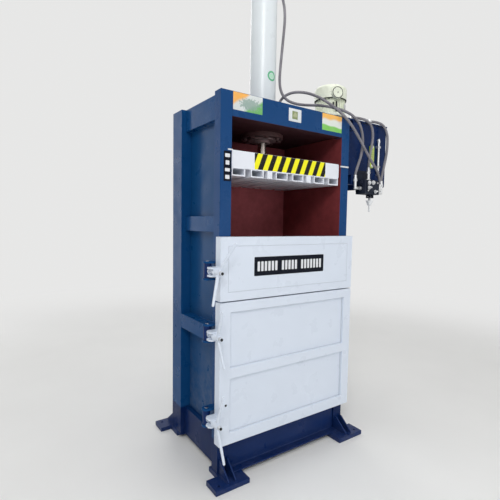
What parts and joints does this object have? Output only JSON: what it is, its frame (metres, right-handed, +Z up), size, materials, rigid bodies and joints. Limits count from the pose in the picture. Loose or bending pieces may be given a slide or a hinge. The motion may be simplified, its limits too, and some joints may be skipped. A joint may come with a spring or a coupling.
{
  "type": "vertical baling press",
  "caption": "Upright hydraulic baling press with a loading opening, two side-hinged clamped doors, a slotted platen on an overhead cylinder and a side power pack.",
  "frame": {"origin": "centre of the frame's plan on the floor", "axes": "+X to the right of someone facing the doors, +Y to the rear, +Z up along the ram's axis"},
  "size_m": [1.7749, 1.0156, 3.56],
  "materials": {
    "blue_paint": "glossy enamel",
    "navy_paint": "glossy enamel",
    "white_paint": "satin enamel",
    "red_oxide": "matte primer",
    "bare_steel": "machined",
    "motor_paint": "satin enamel",
    "hose_rubber": "braided cover",
    "gauge_plastic": "clear moulded",
    "chrome": "polished",
    "cast_iron": "painted casting",
    "pale_grip": "moulded"
  },
  "bodies": {
    "press_frame": {"front_post_left": "blue_paint", "front_post_right": "blue_paint", "rear_post_left": "blue_paint", "rear_post_right": "blue_paint", "crown_front_beam": "blue_paint", "head_plate": "red_oxide", "side_channels_left": "blue_paint", "side_channels_right": "blue_paint", "rear_channels": "blue_paint", "side_sheet_left": "red_oxide", "side_sheet_right": "red_oxide", "back_sheet": "red_oxide", "base_front_channel": "navy_paint", "bed_channels": "red_oxide", "bed_bearers": "red_oxide", "feet": "navy_paint", "cylinder_tube": "white_paint", "cylinder_cap": "white_paint", "cylinder_flange": "red_oxide", "flange_bolts": "bare_steel", "cylinder_gland": "red_oxide", "hinge_brackets": "blue_paint", "hinge_pins": "bare_steel", "clamp_brackets": "blue_paint", "clamp_nuts": "navy_paint", "oil_tank": "blue_paint", "tank_lid": "blue_paint", "tank_rails": "blue_paint", "level_gauge": "gauge_plastic", "return_pipe": "chrome", "breather_cap": "cast_iron", "bell_housing": "motor_paint", "motor_frame": "motor_paint", "motor_cowl": "motor_paint", "valve_block": "cast_iron", "hose_fittings": "bare_steel", "hose_cap_end": "hose_rubber", "hose_rod_end": "hose_rubber", "hose_pump": "hose_rubber", "hose_return": "hose_rubber"},
    "ram": {"platen_box": "white_paint", "platen_channels": "white_paint", "rod_coupling": "red_oxide", "coupling_bolts": "bare_steel", "piston": "bare_steel", "piston_rod": "chrome"},
    "upper_door": {"upper_door_skin": "white_paint", "upper_door_back": "white_paint", "upper_door_knuckles": "white_paint", "upper_door_fork": "white_paint"},
    "lower_door": {"lower_door_frame": "white_paint", "lower_door_panels": "white_paint", "lower_door_back": "white_paint", "lower_door_knuckles": "white_paint", "lower_door_forks": "white_paint"},
    "clamp_top": {"clamp_screw_top": "white_paint"},
    "clamp_middle": {"clamp_screw_middle": "white_paint"},
    "clamp_bottom": {"clamp_screw_bottom": "white_paint"},
    "hand_lever": {"valve_lever": "pale_grip"}
  },
  "joints": [
    {"name": "ram_slide", "type": "slide", "parent": "press_frame", "child": "ram", "axis": [0, 0, -1], "range_m": [0, 1]},
    {"name": "upper_door_hinge", "type": "hinge", "parent": "press_frame", "child": "upper_door", "pos_m": [0.59, -0.352, 1.33], "axis": [0, 0, 1], "range_deg": [0, 120]},
    {"name": "lower_door_hinge", "type": "hinge", "parent": "press_frame", "child": "lower_door", "pos_m": [0.59, -0.352, 0.685], "axis": [0, 0, 1], "range_deg": [0, 120]},
    {"name": "clamp_top_turn", "type": "hinge", "parent": "upper_door", "child": "clamp_top", "pos_m": [-0.612, -0.44, 1.318], "axis": [0, -1, 0], "range_deg": [0, 810]},
    {"name": "clamp_middle_turn", "type": "hinge", "parent": "lower_door", "child": "clamp_middle", "pos_m": [-0.612, -0.44, 0.935], "axis": [0, -1, 0], "range_deg": [0, 810]},
    {"name": "clamp_bottom_turn", "type": "hinge", "parent": "lower_door", "child": "clamp_bottom", "pos_m": [-0.612, -0.44, 0.405], "axis": [0, -1, 0], "range_deg": [0, 810]},
    {"name": "hand_lever_tilt", "type": "hinge", "parent": "press_frame", "child": "hand_lever", "pos_m": [0.825, -0.34, 1.834], "axis": [1, 0, 0], "range_deg": [-20, 20], "stiffness_Nm_per_rad": 2}
  ]
}
